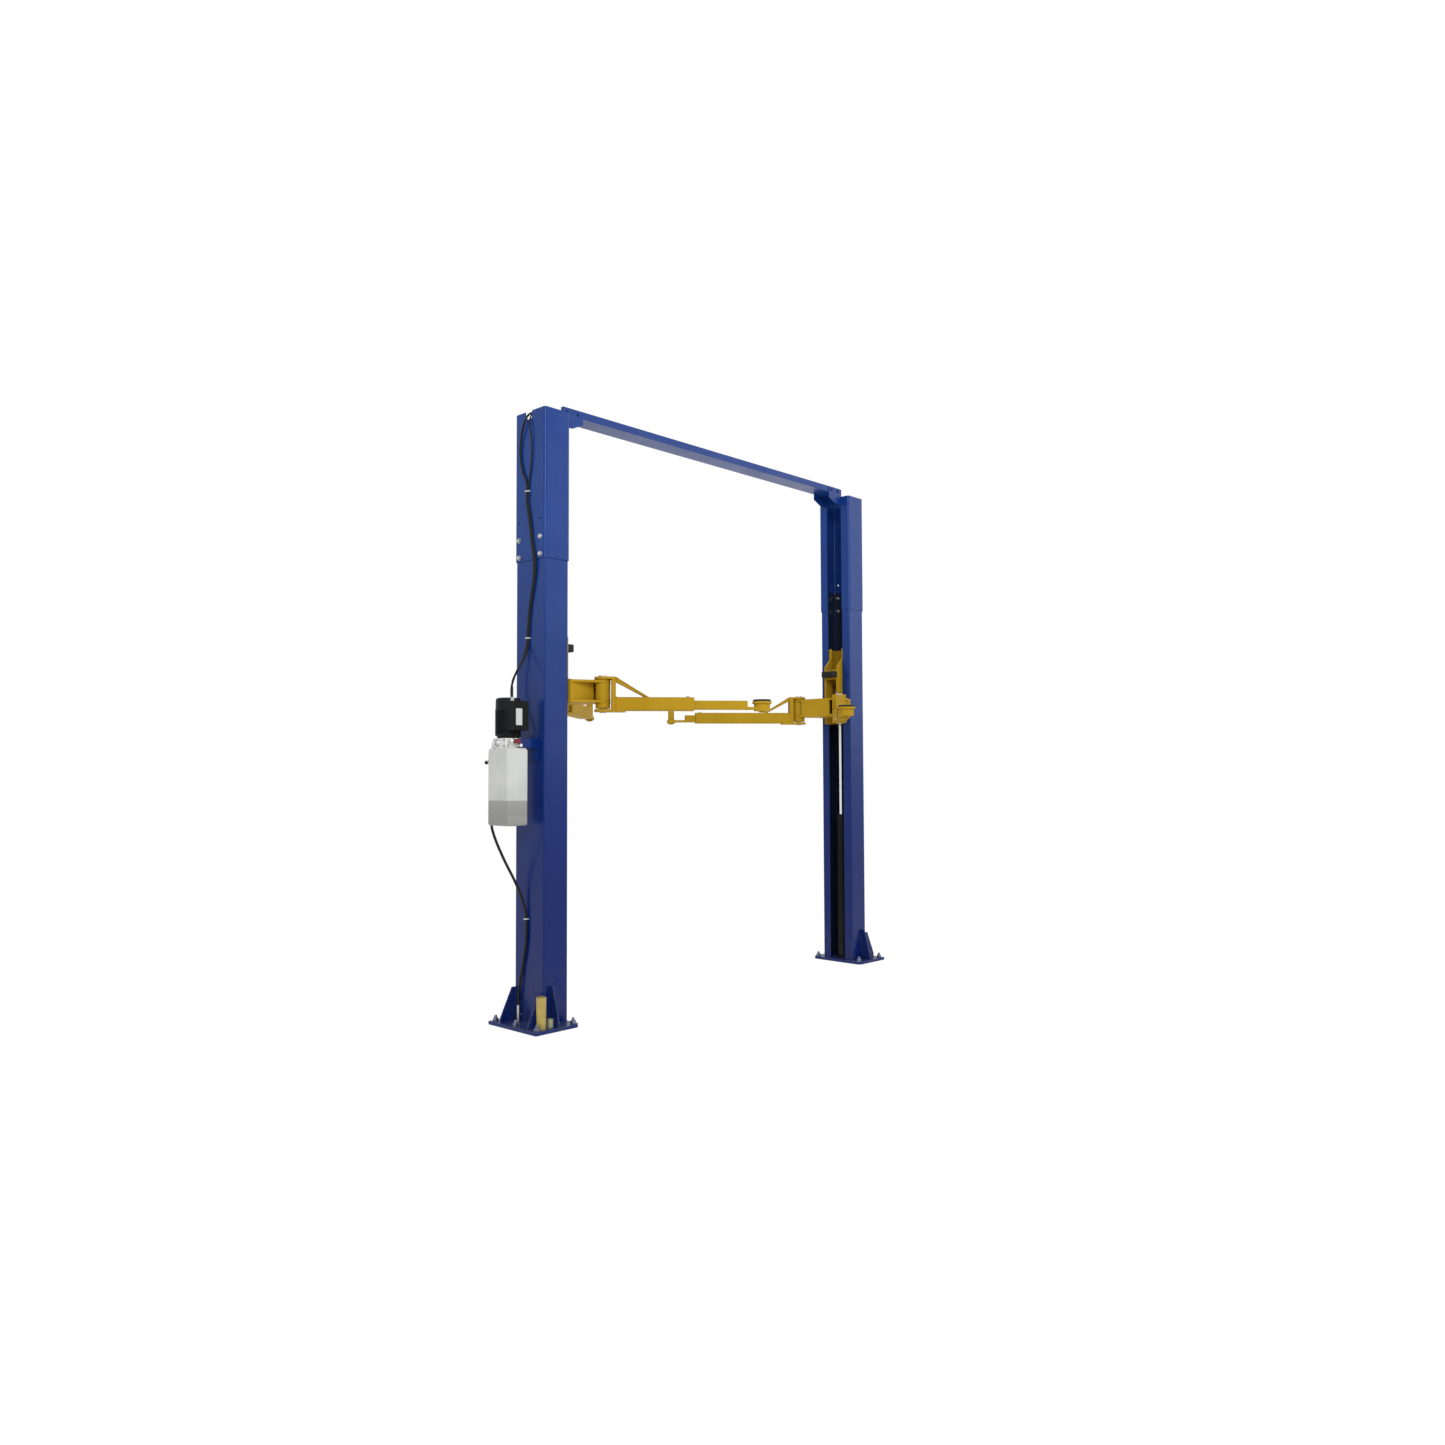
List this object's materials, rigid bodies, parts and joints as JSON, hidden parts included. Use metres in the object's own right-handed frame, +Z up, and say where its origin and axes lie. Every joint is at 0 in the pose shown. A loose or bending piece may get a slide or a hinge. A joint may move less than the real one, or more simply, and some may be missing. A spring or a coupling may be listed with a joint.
{
  "type": "two post car lift",
  "caption": "Two post car lift: channel columns on base plates joined by an overhead beam, sliding carriages with swinging telescopic arms, chain-over rams and a hydraulic power unit.",
  "frame": {"origin": "on the floor, midway between the two columns, at the centre of the anchor pattern", "axes": "+X from the column with the power unit to the other one, +Y along the vehicle, +Z up"},
  "size_m": [3.532, 1.7941, 3.722],
  "materials": {
    "arm_paint": "gloss",
    "bare_steel": "satin",
    "block_alloy": "machined",
    "box_plastic": "satin",
    "cap_plastic": "satin",
    "chain_steel": "oiled",
    "column_paint": "gloss",
    "cylinder_paint": "satin",
    "hose_rubber": "matte",
    "lever_steel": "polished",
    "motor_paint": "satin",
    "plate_paint": "gloss",
    "rod_chrome": "polished",
    "rubber": "matte",
    "slider_plastic": "matte",
    "tank_plastic": "translucent",
    "tie_nylon": "matte"
  },
  "bodies": {
    "root": {"base_gussets": "plate_paint", "beam_brackets": "column_paint", "overhead_beam": "column_paint", "chain_anchors": "bare_steel", "chain_fixed_strands": "chain_steel", "unit_bracket": "column_paint", "valve_block": "block_alloy", "motor": "motor_paint", "switch_box": "box_plastic", "oil_tank": "tank_plastic", "height_adapters": "arm_paint", "left_base_plate": "plate_paint", "left_column": "column_paint", "left_column_extension": "column_paint", "left_cylinder": "cylinder_paint", "right_base_plate": "plate_paint", "right_column": "column_paint", "right_column_extension": "column_paint", "right_cylinder": "cylinder_paint", "hydraulic_hoses": "hose_rubber", "control_cable": "hose_rubber", "cable_box": "box_plastic", "steel_line": "bare_steel", "line_fittings": "bare_steel", "hose_clips": "tie_nylon", "filler_cap": "cap_plastic"},
    "left_carriage": {"left_carriage": "arm_paint", "left_slider_blocks": "slider_plastic", "left_door_bumper": "rubber", "left_arm_pins": "bare_steel", "left_chain_lift_strand": "chain_steel"},
    "left_ram": {"left_ram": "rod_chrome", "left_chain_roller": "bare_steel", "left_chain_bend": "chain_steel"},
    "left_front_arm": {"left_front_arm": "arm_paint"},
    "left_front_extension": {"left_front_arm_extension": "arm_paint", "left_front_pad_post": "arm_paint", "left_front_rubber_pad": "rubber"},
    "left_rear_arm": {"left_rear_arm": "arm_paint"},
    "left_rear_extension": {"left_rear_arm_extension": "arm_paint", "left_rear_pad_post": "arm_paint", "left_rear_rubber_pad": "rubber"},
    "right_carriage": {"right_carriage": "arm_paint", "right_slider_blocks": "slider_plastic", "right_door_bumper": "rubber", "right_arm_pins": "bare_steel", "right_chain_lift_strand": "chain_steel"},
    "right_ram": {"right_ram": "rod_chrome", "right_chain_roller": "bare_steel", "right_chain_bend": "chain_steel"},
    "right_front_arm": {"right_front_arm": "arm_paint"},
    "right_front_extension": {"right_front_arm_extension": "arm_paint", "right_front_pad_post": "arm_paint", "right_front_rubber_pad": "rubber"},
    "right_rear_arm": {"right_rear_arm": "arm_paint"},
    "right_rear_extension": {"right_rear_arm_extension": "arm_paint", "right_rear_pad_post": "arm_paint", "right_rear_rubber_pad": "rubber"},
    "lever": {"lowering_lever": "lever_steel"}
  },
  "joints": [
    {"name": "left_carriage_lift", "type": "slide", "parent": "root", "child": "left_carriage", "axis": [0, 0, 1], "range_m": [-1.75, 0.03], "deforming": ["chain_fixed_strands"]},
    {"name": "left_ram_stroke", "type": "slide", "parent": "left_carriage", "child": "left_ram", "axis": [0, 0, 1], "range_m": [-0.015, 0.875], "deforming": ["left_chain_lift_strand"]},
    {"name": "left_front_arm_swing", "type": "hinge", "parent": "left_carriage", "child": "left_front_arm", "pos_m": [-1.185, -0.1975, 1.98], "axis": [0, 0, -1], "range_deg": [-30, 50]},
    {"name": "left_front_arm_reach", "type": "slide", "parent": "left_front_arm", "child": "left_front_extension", "axis": [0.766, -0.6428, 0], "range_m": [-0.16, 0.17]},
    {"name": "left_rear_arm_swing", "type": "hinge", "parent": "left_carriage", "child": "left_rear_arm", "pos_m": [-1.185, 0.1975, 1.98], "axis": [0, 0, 1], "range_deg": [-30, 50]},
    {"name": "left_rear_arm_reach", "type": "slide", "parent": "left_rear_arm", "child": "left_rear_extension", "axis": [0.766, 0.6428, 0], "range_m": [-0.15, 0.38]},
    {"name": "right_carriage_lift", "type": "slide", "parent": "root", "child": "right_carriage", "axis": [0, 0, 1], "range_m": [-1.75, 0.03]},
    {"name": "right_ram_stroke", "type": "slide", "parent": "right_carriage", "child": "right_ram", "axis": [0, 0, 1], "range_m": [-0.015, 0.875], "deforming": ["right_chain_lift_strand"]},
    {"name": "right_front_arm_swing", "type": "hinge", "parent": "right_carriage", "child": "right_front_arm", "pos_m": [1.185, -0.1975, 1.98], "axis": [0, 0, 1], "range_deg": [-30, 50]},
    {"name": "right_front_arm_reach", "type": "slide", "parent": "right_front_arm", "child": "right_front_extension", "axis": [-0.766, -0.6428, 0], "range_m": [-0.16, 0.17]},
    {"name": "right_rear_arm_swing", "type": "hinge", "parent": "right_carriage", "child": "right_rear_arm", "pos_m": [1.185, 0.1975, 1.98], "axis": [0, 0, -1], "range_deg": [-30, 50]},
    {"name": "right_rear_arm_reach", "type": "slide", "parent": "right_rear_arm", "child": "right_rear_extension", "axis": [-0.766, 0.6428, 0], "range_m": [-0.15, 0.38]},
    {"name": "lowering_lever_press", "type": "hinge", "parent": "root", "child": "lever", "pos_m": [-1.741, 0.092, 1.65], "axis": [-1, 0, 0], "range_deg": [0, 20], "stiffness_Nm_per_rad": 1.5, "springref_deg": -20.05}
  ],
  "couplings": [
    {"joint": "left_ram_stroke", "follows": "left_carriage_lift", "ratio": -0.5},
    {"joint": "right_carriage_lift", "follows": "left_carriage_lift", "ratio": 1},
    {"joint": "right_ram_stroke", "follows": "left_carriage_lift", "ratio": -0.5}
  ]
}
